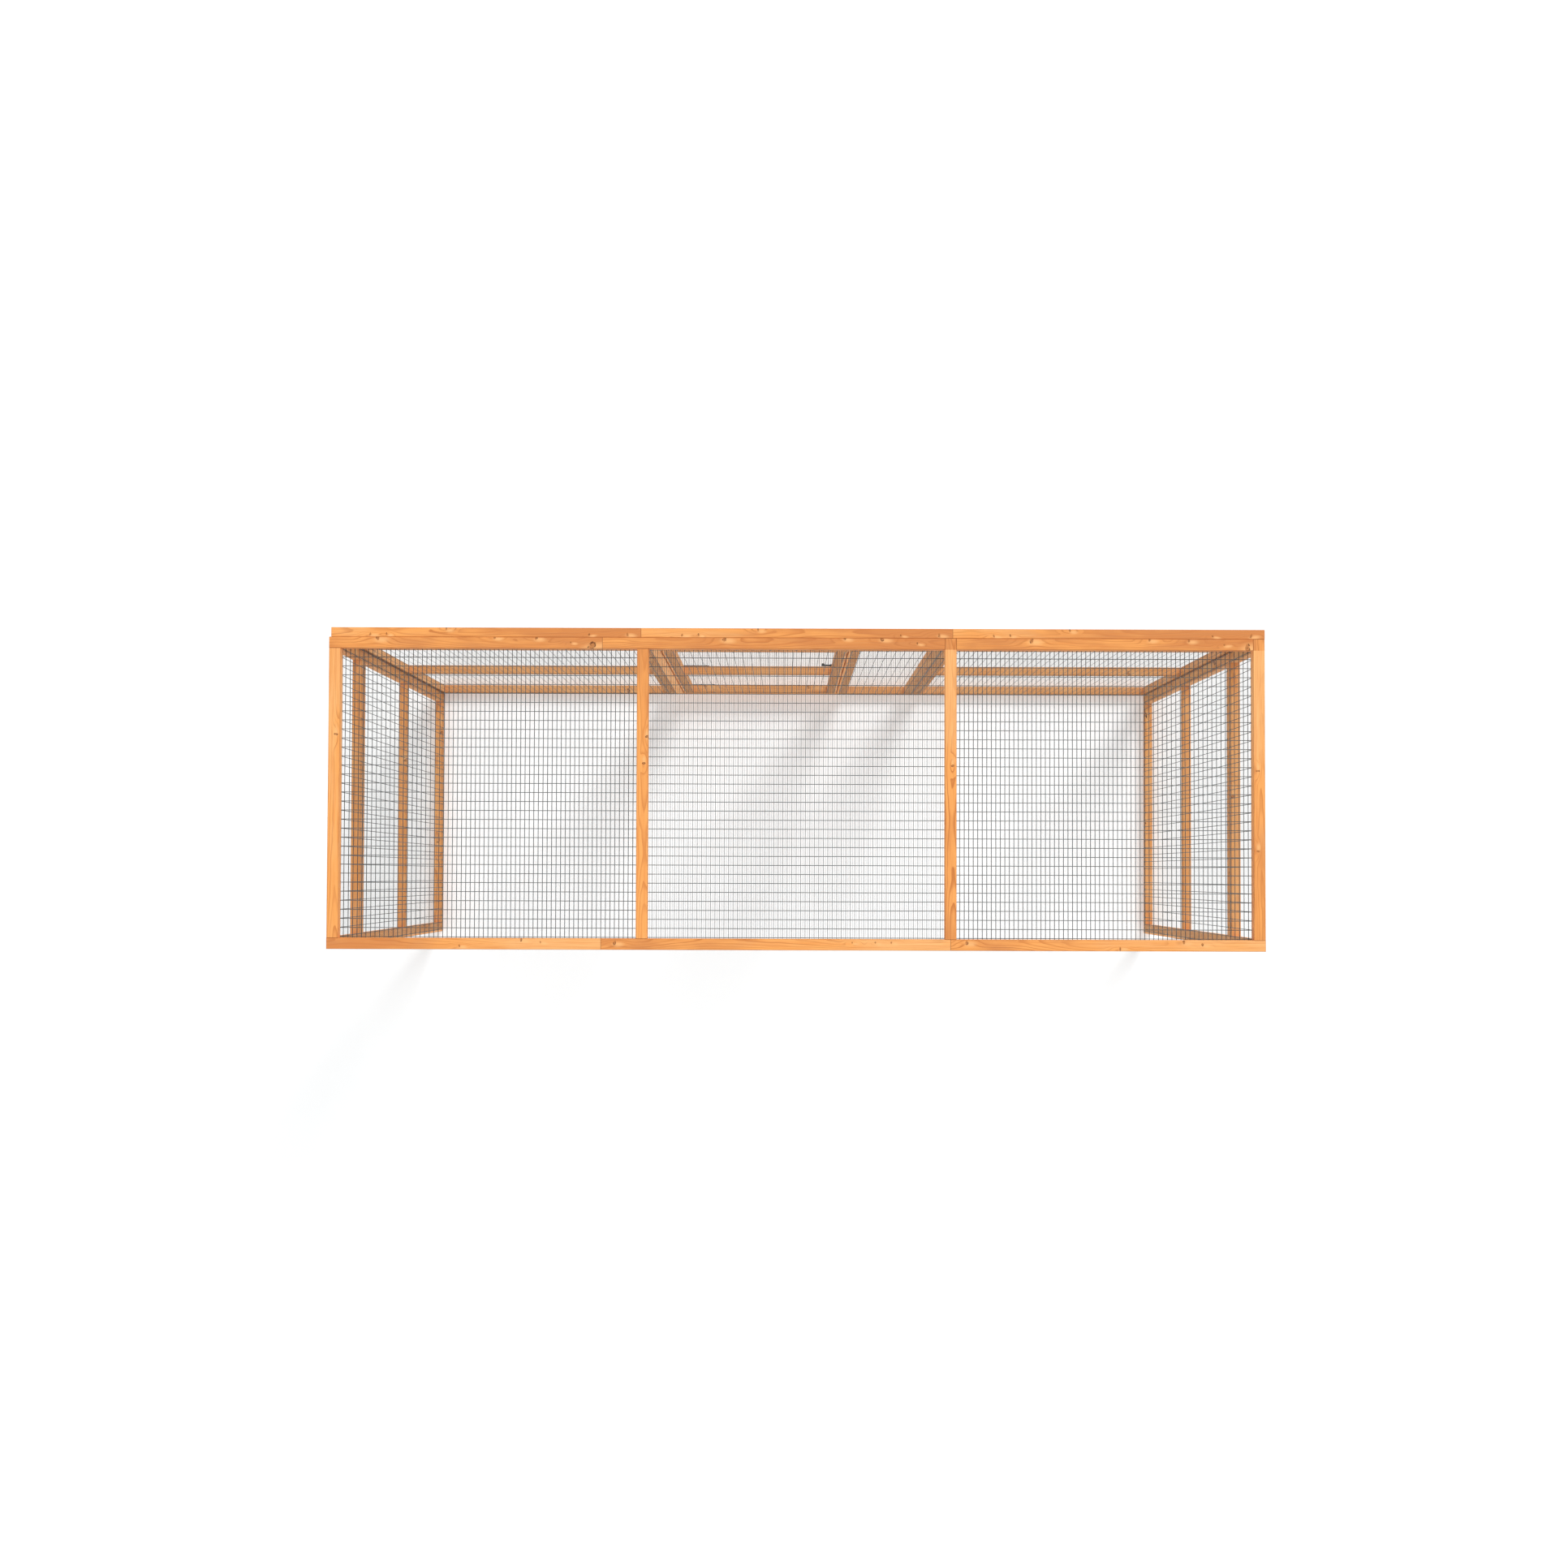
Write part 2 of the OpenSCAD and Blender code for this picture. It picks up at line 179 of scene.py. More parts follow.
def new_group(name, inputs, outputs):
    """An empty group of nodes. Sockets are given as name: V for a vector, F for a number, C for a colour."""
    kinds = {"V": "NodeSocketVector", "F": "NodeSocketFloat", "C": "NodeSocketColor"}
    group = bpy.data.node_groups.new(name, "ShaderNodeTree")
    for socket, kind in inputs.items():
        group.interface.new_socket(socket, in_out="INPUT", socket_type=kinds[kind])
    for socket, kind in outputs.items():
        group.interface.new_socket(socket, in_out="OUTPUT", socket_type=kinds[kind])
    circuit = Circuit(group)
    given = circuit.add("NodeGroupInput").outputs
    made = circuit.add("NodeGroupOutput").inputs
    return group, circuit, given, made


def new_material(name):
    """A material with a bare Principled shader, and the circuit that writes into it."""
    material = bpy.data.materials.new(name)
    material.use_nodes = True
    circuit = Circuit(material.node_tree)
    return material, circuit, material.node_tree.nodes["Principled BSDF"]


print("the circuit helper is ready")

# %% [markdown]
# ## Softwood: knots
#
# A knot is the root of a branch. It grew outwards from the middle of the trunk, the pith, so in sawn timber
# it is a rod that crosses the board, and it shows on each face that it meets. The pattern is the distance
# from that rod's axis: a cross product measures it. A fine noise keeps the outline from being a perfect
# round. Each knot makes four marks: its brown core with rings of its own, its nearly black heart and rim,
# the swell that bends the board's rings round it, and a paler tail beside it along the grain. The knots of
# a board are chained: each group takes the marks made so far and adds its own.

# %% Group for one knot
knot_group, c, given, made = new_group(
    "knot",
    {"Board": "V", "Place": "V", "Axis": "V", "Size": "F",
     "Core": "F", "Rim": "F", "Swell": "F", "Pale": "F"},
    {"Core": "F", "Rim": "F", "Swell": "F", "Pale": "F"})
size = given["Size"]
away = c.vector("SUBTRACT", given["Board"], given["Place"])


def off_axis(stretch, shift=(0, 0, 0)):
    """Distance from the knot's axis, in knot sizes. A stretch below 1 makes the outline longer that way."""
    moved = c.vector("MULTIPLY", c.vector("ADD", away, shift), stretch)
    crossed = c.vector("LENGTH", c.vector("CROSS_PRODUCT", moved, given["Axis"]), out=1)
    return c.sum("DIVIDE", crossed, size)


ragged = c.sum("MULTIPLY", c.sum("SUBTRACT", c.noise(given["Board"], 150, 1), 0.5), 0.55)
distance = c.sum("ADD", off_axis((1.20, 0.78, 0.78)), ragged)
core = c.step(distance, 0.55, 1.10, 1.0, 0.0)
own_rings = c.step(c.sum("PINGPONG", distance, 0.17), 0.02, 0.15, 0.65, 1.0)
crescent = c.step(c.noise(given["Board"], 95, 1), 0.47, 0.60)
rim = c.sum("MULTIPLY", c.step(distance, 0.55, 0.92), c.step(distance, 1.00, 1.30, 1.0, 0.0))
heart = c.step(distance, 0.0, 0.26, 0.75, 0.0)
c.feed(made["Core"], c.sum("MAXIMUM", given["Core"], c.sum("MULTIPLY", core, own_rings)))
c.feed(made["Rim"], c.sum("MAXIMUM", given["Rim"], c.sum("MAXIMUM", heart, c.sum("MULTIPLY", rim, crescent))))
c.feed(made["Swell"], c.sum("ADD", given["Swell"], c.step(off_axis((0.30, 1, 1)), 0.4, 4.2, 1.0, 0.0)))
pale_tail = c.step(off_axis((0.45, 1, 1), (0.011, -0.004, 0)), 0.3, 2.4, 1.0, 0.0)
c.feed(made["Pale"], c.sum("MAXIMUM", given["Pale"], pale_tail))
print("knot group:", len(knot_group.nodes), "nodes")

# %% [markdown]
# ## Softwood: growth rings
#
# The rings are tubes round the pith. A board is a straight cut through them, and because the trunk is never
# quite straight, the cut runs in and out of the tubes: that draws the long arches on a flat face. So the
# pattern is the distance from the pith's line, and the line sways along the board. Rings flow round a knot,
# which is the Swell that the knots hand over. Each ring fades from pale early wood to a dark late band and
# then breaks off sharply.

# %% Group for the rings, the fibres and the broad stains
ring_group, c, given, made = new_group(
    "growth_rings",
    {"Board": "V", "Pith": "V", "Seed": "F", "Swell": "F"},
    {"Late": "F", "Fibre": "F", "Patch": "F"})
ring_width = 0.0034
rings_pushed = 1.6
halfway = (0.5, 0.5, 0.5)

shift = c.add("ShaderNodeCombineXYZ", {0: c.sum("MULTIPLY", given["Seed"], 3.7), 1: given["Seed"]}).outputs[0]
along = c.vector("MULTIPLY", given["Board"], (1, 0, 0))
own = c.vector("ADD", along, shift)
slow_sway = c.vector("SUBTRACT", c.noise(own, 1.6, 1, out=1), halfway)
quick_sway = c.vector("SUBTRACT", c.noise(own, 9.0, 2, out=1), halfway)
sway = c.vector("ADD", c.vector("MULTIPLY", slow_sway, (0, 0.050, 0.050)),
                c.vector("MULTIPLY", quick_sway, (0, 0.004, 0.004)))
section = c.vector("MULTIPLY", c.vector("SUBTRACT", given["Board"], given["Pith"]), (0, 1, 1))
radius = c.vector("LENGTH", c.vector("ADD", section, sway), out=1)
seeded = c.vector("ADD", given["Board"], shift)
drift = c.sum("MULTIPLY", c.noise(c.vector("MULTIPLY", seeded, (4, 60, 60)), 1.0, 2), 0.9)
bent = c.sum("ADD", drift, c.sum("MULTIPLY", given["Swell"], rings_pushed))
rings = c.sum("ADD", c.sum("DIVIDE", radius, ring_width), bent)
turn = c.sum("FRACT", rings)
band = c.sum("MULTIPLY", c.step(turn, 0.52, 0.92), c.step(turn, 0.93, 1.0, 1.0, 0.0))
ring_number = c.sum("ADD", c.sum("FLOOR", rings), given["Seed"])
strong = c.add("ShaderNodeTexWhiteNoise", {"W": ring_number}, noise_dimensions="1D").outputs[0]
c.feed(made["Late"], c.sum("MULTIPLY", band, c.sum("ADD", c.sum("MULTIPLY", strong, 0.6), 0.4)))
c.feed(made["Fibre"], c.noise(c.vector("MULTIPLY", seeded, (6, 260, 260)), 1.0, 4, 0.68))
c.feed(made["Patch"], c.noise(c.vector("MULTIPLY", seeded, (5, 22, 22)), 1.0, 3, 0.55))
print("growth ring group:", len(ring_group.nodes), "nodes")

# %% [markdown]
# ## Softwood: the stain
#
# It soaks into early wood and leaves the late bands browner. It gathers on the sawn ends, which are darker
# than the faces. Knots take little of it and stay dark. A darker brown along the arrises is painted shade:
# it stands for the shadow in the gaps where parts meet. Tone says how pale a length is: it moves the brown
# patches and the pale ones. The three groups stay separate so that each can be looked at and changed alone.

# %% Group for colour, roughness and relief
stain_and_shade_group, c, given, made = new_group(
    "stain_and_shade",
    {"Board": "V", "Half": "V", "Late": "F", "Fibre": "F", "Patch": "F", "Core": "F", "Rim": "F", "Pale": "F",
     "Tone": "F"},
    {"Color": "C", "Roughness": "F", "Height": "F"})
early_wood = (0.98, 0.43, 0.122, 1)
late_wood = (0.52, 0.150, 0.032, 1)
fibre_wood = (0.76, 0.26, 0.062, 1)
brown_patch = (0.60, 0.215, 0.070, 1)
pale_wood = (1.0, 0.53, 0.21, 1)
knot_wood = (0.40, 0.120, 0.026, 1)
knot_rim = (0.100, 0.028, 0.008, 1)
# Painted shade: this darker brown on the arrises stands for the shadow in the gaps where parts meet
arris_shade_colour = (0.46, 0.150, 0.042, 1)
sawn_end = (0.36, 0.125, 0.040, 1)

edge = c.vector("SUBTRACT", given["Half"], c.vector("ABSOLUTE", given["Board"]))
edge_parts = c.add("ShaderNodeSeparateXYZ", {0: edge}).outputs
end_share = c.step(edge_parts[0], 0.0002, 0.0009, 1.0, 0.0)
# Where the painted shade of the arrises lies: within about 2 mm of a long edge
arris_shade = c.step(c.sum("MAXIMUM", edge_parts[1], edge_parts[2]), 0.0007, 0.0022, 1.0, 0.0)
late_share = c.sum("MULTIPLY", given["Late"], 0.82)
fibre_share = c.step(given["Fibre"], 0.36, 0.72, 0.0, 0.55)
patch_share = c.step(c.sum("SUBTRACT", given["Patch"], given["Tone"]), -0.12, 0.32, 0.0, 0.80)
pale_share = c.step(c.sum("ADD", given["Patch"], given["Tone"]), 1.08, 1.50, 0.0, 0.85)
wood = c.blend(late_share, early_wood, late_wood)
wood = c.blend(patch_share, wood, brown_patch)
wood = c.blend(pale_share, wood, pale_wood)
wood = c.blend(fibre_share, wood, fibre_wood)
wood = c.blend(c.sum("MULTIPLY", given["Pale"], 0.75), wood, pale_wood)
# The arrises are darkened with painted shade, not with stain
wood = c.blend(c.sum("MULTIPLY", arris_shade, 0.40), wood, arris_shade_colour)
wood = c.blend(c.sum("MULTIPLY", given["Core"], 0.85), wood, knot_wood)
wood = c.blend(c.sum("MULTIPLY", given["Rim"], 0.95), wood, knot_rim)
wood = c.blend(c.sum("MULTIPLY", end_share, 0.8), wood, sawn_end)
c.feed(made["Color"], wood)
rough = c.sum("ADD", 0.50, c.sum("MULTIPLY", given["Fibre"], 0.22))
c.feed(made["Roughness"], c.sum("SUBTRACT", rough, c.sum("MULTIPLY", given["Core"], 0.12)))
relief = c.sum("ADD", c.sum("MULTIPLY", given["Fibre"], 0.5), c.sum("MULTIPLY", given["Late"], 0.5))
c.feed(made["Height"], c.sum("SUBTRACT", relief, c.sum("MULTIPLY", given["Rim"], 0.6)))
print("stain group:", len(stain_and_shade_group.nodes), "nodes")

# %% [markdown]
# ## One material for each length of timber
#
# No two boards come from the same place in the tree. Each length therefore gets its own material: its own
# pith, its own seed and its own knots, around the same three groups. Coordinates are the object's own, so
# the grain stays with the door when the door swings. A Mapping node puts the board's middle at zero, and
# then the grain's direction is put first, so that one recipe serves boards along X, Y and Z.

# %% Recipe for one board
knot_sizes = (0.0028, 0.0035, 0.0045, 0.0060)
first_knot = (0.05, 0.25)
next_knot = (0.16, 0.42)
bare_end = 0.03
saw_line = 0.0004


def board_material(name, low, high, knots=None, pith=None, tone=0.5, fade=None, head=None):
    """Timber between two corners. Knots are (X, Y, Z, size) in mm, and without them they are random.

    fade is the tone at the + and - ends. head is how far from the - end, in metres, the timber has another
    tone, and that tone.
    """
    rng = random.Random(name)
    low, high = Vector(low), Vector(high)
    middle, half = (low + high) / 2, (high - low) / 2
    grain = max(range(3), key=lambda axis: half[axis])
    order = [grain, (grain + 1) % 3, (grain + 2) % 3]

    def in_board(point):
        return Vector([point[axis] - middle[axis] for axis in order])

    half_board = Vector([half[axis] for axis in order])
    if pith is None:
        angle, far = rng.uniform(0, 2 * math.pi), rng.uniform(0.018, 0.040)
        pith_place = Vector((0, far * math.cos(angle), far * math.sin(angle)))
    else:
        pith_place = in_board(middle + Vector(pith))
    if knots is None:
        spots = []
        at = -half_board.x + rng.uniform(*first_knot)
        while at < half_board.x - bare_end:
            across = rng.uniform(-0.8, 0.8) * half_board.y
            through = rng.uniform(-0.8, 0.8) * half_board.z
            spots.append((Vector((at, across, through)), rng.choice(knot_sizes)))
            at += rng.uniform(*next_knot)
    else:
        spots = [(in_board(Vector(knot[:3]) / 1000), knot[3] / 1000) for knot in knots]

    material, c, shader = new_material(name)
    place = c.add("ShaderNodeTexCoord").outputs["Object"]
    centred = c.add("ShaderNodeMapping", {"Vector": place, "Location": -middle}).outputs[0]
    parts = c.add("ShaderNodeSeparateXYZ", {0: centred}).outputs
    board = c.add("ShaderNodeCombineXYZ", {i: parts[axis] for i, axis in enumerate(order)}).outputs[0]
    marks = {"Core": 0.0, "Rim": 0.0, "Swell": 0.0, "Pale": 0.0}
    for spot, knot_size in spots:
        axis = spot - pith_place
        axis.x = rng.uniform(-0.12, 0.12) * axis.length
        chained = c.group(knot_group, Board=board, Place=spot, Axis=axis.normalized(),
                          Size=knot_size, **marks)
        marks = {mark: chained[mark] for mark in marks}
    rings = c.group(ring_group, Board=board, Pith=pith_place, Seed=rng.uniform(0, 40),
                    Swell=marks.pop("Swell"))
    if fade:
        along = c.add("ShaderNodeSeparateXYZ", {0: board}).outputs[0]
        tone = c.step(along, -half_board.x, half_board.x, fade[1], fade[0])
        if head:
            head_length, head_tone = head
            head_ends = head_length - half_board.x
            tone = c.step(along, head_ends, head_ends + saw_line, head_tone, tone)
    else:
        tone += rng.uniform(-0.08, 0.08)
    stain_and_shade = c.group(stain_and_shade_group, Board=board, Half=half_board, Late=rings["Late"], Fibre=rings["Fibre"],
                    Patch=rings["Patch"], Tone=tone, **marks)
    c.feed(shader.inputs["Base Color"], stain_and_shade["Color"])
    c.feed(shader.inputs["Roughness"], stain_and_shade["Roughness"])
    shader.inputs["Specular IOR Level"].default_value = 0.22
    bump = c.add("ShaderNodeBump", {"Height": stain_and_shade["Height"], "Strength": 0.5, "Distance": 0.0006})
    c.feed(shader.inputs["Normal"], bump.outputs[0])
    return material


print("the board recipe is ready")

# %% [markdown]
# ## Where lengths meet
#
# Some rails are made of two or three lengths, and some posts stand in pairs. They share a node, so the node
# gets one material slot for each length, and every face is given the slot of the length that it belongs to.
# The cuts are the places where the lengths meet: an axis, and the places on it. The knots that show from
# above are put where the photograph has them, as X, Y and size in mm. The timber that shows from above isn't
# one tone from end to end, so a fade gives each of its lengths a tone at the + end and one at the - end. The
# heads of the two left rafters lie between the lengths of the rail and are as brown as the rail.

# %% Cuts, knots and tones of the rails that show from above
half_front = cad_box[1][0]
roof_top = cad_box[1][2]
panel_w = 2 * half_front / 3
seam = panel_w / 2
panel_top = sum(corner[2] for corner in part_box("side_double_rail_left")) / 2
roof_joints = [-0.4513, 0.570]
cuts = {
    "front_top_rails": (0, [-seam, seam]),
    "roof_front_rail": (0, roof_joints),
    "roof_back_rail": (0, roof_joints),
    "front_seam_stiles_left": (0, [-seam]),
    "front_seam_stiles_right": (0, [seam]),
}
for side in ("left", "right"):
    for stacked in ("side_front_posts_", "side_back_posts_", "side_double_rail_"):
        cuts[stacked + side] = (2, [panel_top])

panel_knots = ((120, -444, 3.2), (168, -445, 2.6), (343, -460, 3.4), (762, -445, 2.4), (874, -446, 4.0))
front_top_knots = [((half_front - panel_w * n) * 1000 - off, y, knot_size) for n in (2, 1, 0)
                   for off, y, knot_size in panel_knots]
knots_seen = {
    "front_top_rails": front_top_knots,
    "roof_front_rail": [(1228, -433, 6.0), (886, -436, 4.0), (765, -434, 4.2), (663, -422, 2.5),
                        (601, -412, 7.5), (213, -432, 6.0), (-139, -436, 4.0), (-250, -434, 4.2),
                        (-352, -422, 2.5), (-688, -430, 6.0), (-1033, -434, 4.0), (-1149, -432, 4.4),
                        (-1253, -420, 2.6), (-1320, -411, 8.5)],
    "roof_back_rail": [(983, 466, 3.2), (803, 448, 4.0), (746, 455, 3.0), (530, 457, 4.6),
                       (-164, 454, 2.6), (-231, 454, 2.6), (-278, 454, 3.0), (-498, 453, 5.0),
                       (-946, 469, 3.6), (-1132, 451, 4.0), (-1186, 456, 3.2)],
    "rafter_end_right": [(1348, -151, 4.0)],
    "rafter_right": [(437, -146, 4.0), (447, -68, 3.4)],
    "rafter_left": [(-457, -63, 3.4), (-433, 181, 3.6)],
    "rafter_end_left": [(-1349, -51, 3.4), (-1349, 184, 3.6)],
}
fades = {"front_top_rails": (0.67, 0.12), "roof_back_rail": (0.34, 0.95), "roof_front_rail": (0.42, 0.32),
         "rafter_end_right": (0.62, 0.84), "rafter_right": (0.66, 0.38), "rafter_left": (0.34, 0.90),
         "rafter_end_left": (0.36, 1.04)}
heads = {"rafter_left": (0.033, 0.45), "rafter_end_left": (0.033, 0.36)}
tones = {"side_left": 0.79, "side_right": 0.67,
         "front": 0.81, "door": 0.70, "threshold": 0.70, "latch": 0.70, "head": 0.70}


def tone_of(name):
    """How pale the lengths of a node are: 0.5 is the middle of the pack."""
    if name.startswith("side_"):
        name = "side_" + name.split("_")[-1]
    return next((tone for start, tone in tones.items() if name.startswith(start)), 0.5)


print("nodes of several lengths:", len(cuts), "knots placed:", sum(len(k) for k in knots_seen.values()))

# %% Give each length its material
not_timber = ("_net", "hinge_flanges", "hinge_pins", "hinge_straps", "bolt_")
timber = [name for name in nodes if not any(word in name for word in not_timber)]
pith_of_seen = (-0.008, -0.010, -0.012)
lengths = 0
for name in timber:
    mesh = nodes[name].data
    axis, places = cuts.get(name, (0, []))
    of_face = [sum(face.center[axis] > place for place in places) for face in mesh.polygons]
    mesh.materials.clear()
    for part in range(len(places) + 1):
        corners = [mesh.vertices[v].co for face, own in zip(mesh.polygons, of_face) if own == part
                   for v in face.vertices]
        low = Vector([min(corner[i] for corner in corners) for i in range(3)])
        high = Vector([max(corner[i] for corner in corners) for i in range(3)])
        knots, pith = None, None
        if name in knots_seen:
            knots = [(x, y, roof_top * 1000, knot_size) for x, y, knot_size in knots_seen[name]
                     if low.x * 1000 <= x <= high.x * 1000]
            pith = pith_of_seen
        mesh.materials.append(board_material(f"{name}_{part}", low, high, knots=knots, pith=pith,
                                             tone=tone_of(name), fade=fades.get(name), head=heads.get(name)))
        lengths += 1
    for face, own in zip(mesh.polygons, of_face):
        face.material_index = own
print("timber nodes:", len(timber), "lengths:", lengths)

# %% [markdown]
# ## Galvanised wire
#
# Welded mesh is straight wire laid both ways and welded at each crossing, then dipped in zinc. The zinc is
# dull grey with paler and darker grains, duller still where it has weathered, and it gathers in a lighter
# bead on each weld. The greys here are darker than real zinc, because the photograph shows the wire dark
# against the white ground. The grains are Voronoi cells and the beads come from the distance to the nearest
# crossing, so each panel tells the group where its first crossing is and how far apart the wires are.

# %% Zinc group
zinc_group, c, given, made = new_group(
    "zinc",
    {"Place": "V", "Pitch": "V"},
    {"Color": "C", "Roughness": "F", "Height": "F"})
dull_zinc = (0.050, 0.056, 0.057, 1)
pale_zinc = (0.092, 0.100, 0.099, 1)
weathered_zinc = (0.042, 0.044, 0.042, 1)
bead_zinc = (0.170, 0.182, 0.182, 1)

grains = c.add("ShaderNodeTexVoronoi", {"Vector": given["Place"], "Scale": 420.0}).outputs["Color"]
grain_tone = c.add("ShaderNodeSeparateColor", {0: grains}).outputs[0]
weather = c.noise(given["Place"], 7.0, 4, 0.6)
in_gap = c.vector("FRACTION", c.vector("ADD", c.vector("DIVIDE", given["Place"], given["Pitch"]), halfway))
off_weld = c.vector("MULTIPLY", c.vector("SUBTRACT", in_gap, halfway), given["Pitch"])
bead = c.step(c.vector("LENGTH", off_weld, out=1), 0.0010, 0.0024, 1.0, 0.0)
zinc = c.blend(c.sum("MULTIPLY", grain_tone, 0.7), dull_zinc, pale_zinc)
zinc = c.blend(c.step(weather, 0.45, 0.75, 0.0, 0.6), zinc, weathered_zinc)
zinc = c.blend(c.sum("MULTIPLY", bead, 0.45), zinc, bead_zinc)
c.feed(made["Color"], zinc)
c.feed(made["Roughness"], c.sum("ADD", 0.42, c.sum("MULTIPLY", weather, 0.25)))
c.feed(made["Height"], c.sum("ADD", c.sum("MULTIPLY", grain_tone, 0.3), bead))
print("zinc group:", len(zinc_group.nodes), "nodes")


def wire_material(name, first_crossing, pitch):
    """The zinc of one panel, with its beads on that panel's own crossings."""
    material, c, shader = new_material(name)
    place = c.add("ShaderNodeTexCoord").outputs["Object"]
    centred = c.add("ShaderNodeMapping", {"Vector": place, "Location": -first_crossing}).outputs[0]
    zinc = c.group(zinc_group, Place=centred, Pitch=pitch)
    c.feed(shader.inputs["Base Color"], zinc["Color"])
    c.feed(shader.inputs["Roughness"], zinc["Roughness"])
    shader.inputs["Metallic"].default_value = 0.65
    bump = c.add("ShaderNodeBump", {"Height": zinc["Height"], "Strength": 0.4, "Distance": 0.0002})
    c.feed(shader.inputs["Normal"], bump.outputs[0])
    return material


# %% [markdown]
# ## Wire panels
#
# One wire is modelled and an Array modifier lays out the rest, then the same the other way. The wire starts
# as a six-sided cylinder at its place, is pressed flat in edit mode, and is cut into short pieces along its
# length so that a Displace modifier can take the ruler straightness out of it. Real welded wire is round
# and about 1 mm thick. This one is wider and much flatter, which was tuned by measure until the sheets
# looked as dark as in the photograph, both square on and along the walls. Six sides are enough for
# something that is less than a pixel wide, and there are more than a thousand wires.

# %% Lay one set of parallel wires
wire_w = 0.0019
wire_t = 0.00030
wire_bit = 0.16
wander_by = 0.0008
waver = bpy.data.textures.new("waver", type="CLOUDS")
waver.noise_scale = 0.11


def wire_set(first, along, length, across, pitch, count, flat, width):
    """Parallel wires from the middle of the first one. along, across and flat are axes: 0, 1 or 2."""
    pick_nothing()
    turn = {0: (0, math.pi / 2, 0), 1: (math.pi / 2, 0, 0), 2: (0, 0, 0)}[along]
    bpy.ops.mesh.primitive_cylinder_add(vertices=6, radius=width / 2, depth=length, end_fill_type="TRIFAN",
                                        location=first, rotation=turn)
    wires = bpy.context.object
    bpy.ops.object.transform_apply(location=True, rotation=True, scale=True)
    bpy.ops.object.mode_set(mode="EDIT")
    bpy.ops.mesh.select_all(action="SELECT")
    press = [1, 1, 1]
    press[flat] = wire_t / width
    bpy.ops.transform.resize(value=press, center_override=first)

    def runs_along(edge):
        a, b = (wires.data.vertices[v].co for v in edge.vertices)
        return abs(a[along] - b[along]) > length / 2

    pick_parts("EDGE", runs_along)
    bpy.ops.mesh.subdivide(number_cuts=max(2, round(length / wire_bit)))
    bpy.ops.object.mode_set(mode="OBJECT")
    row = wires.modifiers.new("row", "ARRAY")
    row.use_relative_offset = False
    row.use_constant_offset = True
    step = [0, 0, 0]
    step[across] = pitch
    row.constant_offset_displace = step
    row.count = count
    bpy.ops.object.modifier_apply(modifier=row.name)
    wander = wires.modifiers.new("wander", "DISPLACE")
    wander.texture = waver
    wander.texture_coords = "GLOBAL"
    wander.direction = "XYZ"[across]
    wander.strength = wander_by
    bpy.ops.object.modifier_apply(modifier=wander.name)
    return wires


def joined(pieces, name):
    """Several objects as one, under a new name."""
    pick_nothing()
    for piece in pieces:
        piece.select_set(True)
    bpy.context.view_layer.objects.active = pieces[0]
    bpy.ops.object.join()
    whole = bpy.context.object
    whole.name = name
    return whole


print("wire:", round(wire_w * 1000, 2), "mm wide,", round(wire_t * 1000, 2), "mm thick")

# %% [markdown]
# A panel keeps the outline of the flat net in the CAD model, and its wires lie in the middle of that net's
# thickness. The number of gaps is the nearest whole number at the mesh's own pitch. On the walls the
# upright wires stand 26.5 mm apart and the cross wires 13.2 mm, and the roof's three sheets lie the other
# way. The real sheets are probably all of one mesh, but they don't look equally dark in the photograph. So
# the end roofs' wires are a quarter wider one way, and the middle roof, which looks denser, has narrower
# ones with a thin extra wire between each two. The two front sheets reach a little further over their
# stiles than the flat nets do, nearly to the seam with the door bay.

# %% Weave the twelve panels
wide_gap = 0.02651
close_gap = 0.01318
seam_reach = 0.015
end_roof_w = wire_w * 1.25
middle_roof_w = wire_w * 0.80
thin_w = wire_w / 3
layer_rise = wire_t * 0.35
grids = {}


def wire_panel(node):
    """Weaves the sheet that takes the place of one flat net, and counts its wires and its faces."""
    low, high = [Vector(corner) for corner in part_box(node)]
    if node == "front_net_right":
        low.x -= seam_reach
    if node == "front_net_left":
        high.x += seam_reach
    flat = min(range(3), key=lambda axis: high[axis] - low[axis])
    side, rise = [axis for axis in range(3) if axis != flat]
    roof = flat == 2
    fine = node == "roof_net_middle"
    gap_side = close_gap if roof else wide_gap
    gap_rise = wide_gap if roof else close_gap
    width_rise = middle_roof_w if fine else end_roof_w if roof else wire_w
    middle = (low[flat] + high[flat]) / 2
    made = []
    wire_count = 0
    crossing = Vector(low)
    crossing[flat] = middle
    pitch = Vector((1, 1, 1))
    ways = ((rise, side, gap_side, width_rise, 1), (side, rise, gap_rise, wire_w, -1))
    for along, across, gap, width, layer in ways:
        length = high[along] - low[along]
        span = high[across] - low[across] - width
        gaps = round(span / gap)
        pitch[across] = span / gaps
        crossing[across] = low[across] + width / 2
        first = Vector((low + high) / 2)
        first[across] = crossing[across]
        first[flat] = middle + layer * layer_rise
        made.append(wire_set(first, along, length, across, pitch[across], gaps + 1, flat, width))
        wire_count += gaps + 1
        if fine and across == side:
            first[across] += pitch[across] / 2
            made.append(wire_set(first, along, length, across, pitch[across], gaps, flat, thin_w))
            wire_count += gaps
    panel = joined(made, node.replace("_net", "_wire"))
    panel.data.materials.append(wire_material(panel.name, crossing, pitch))
    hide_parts(node)
    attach(panel, "door" if node == "door_net" else "enclosure")
    grids[node] = (crossing, pitch, flat)
    return wire_count, len(panel.data.polygons)


nets = [name for name in nodes if "_net" in name]
counts = [wire_panel(node) for node in nets]
print("panels:", len(grids), "wires:", sum(count[0] for count in counts),
      "faces:", sum(count[1] for count in counts))

# %% [markdown]
# ## Black iron
#
# The hinges and the bolt are pressed steel with a black powder coat. A powder coat is never mirror flat: it
# has a soft orange-peel relief and a middling gloss, and outdoors a thin brownish dust settles on it in
# patches. One material serves all six pieces of iron and the screws.

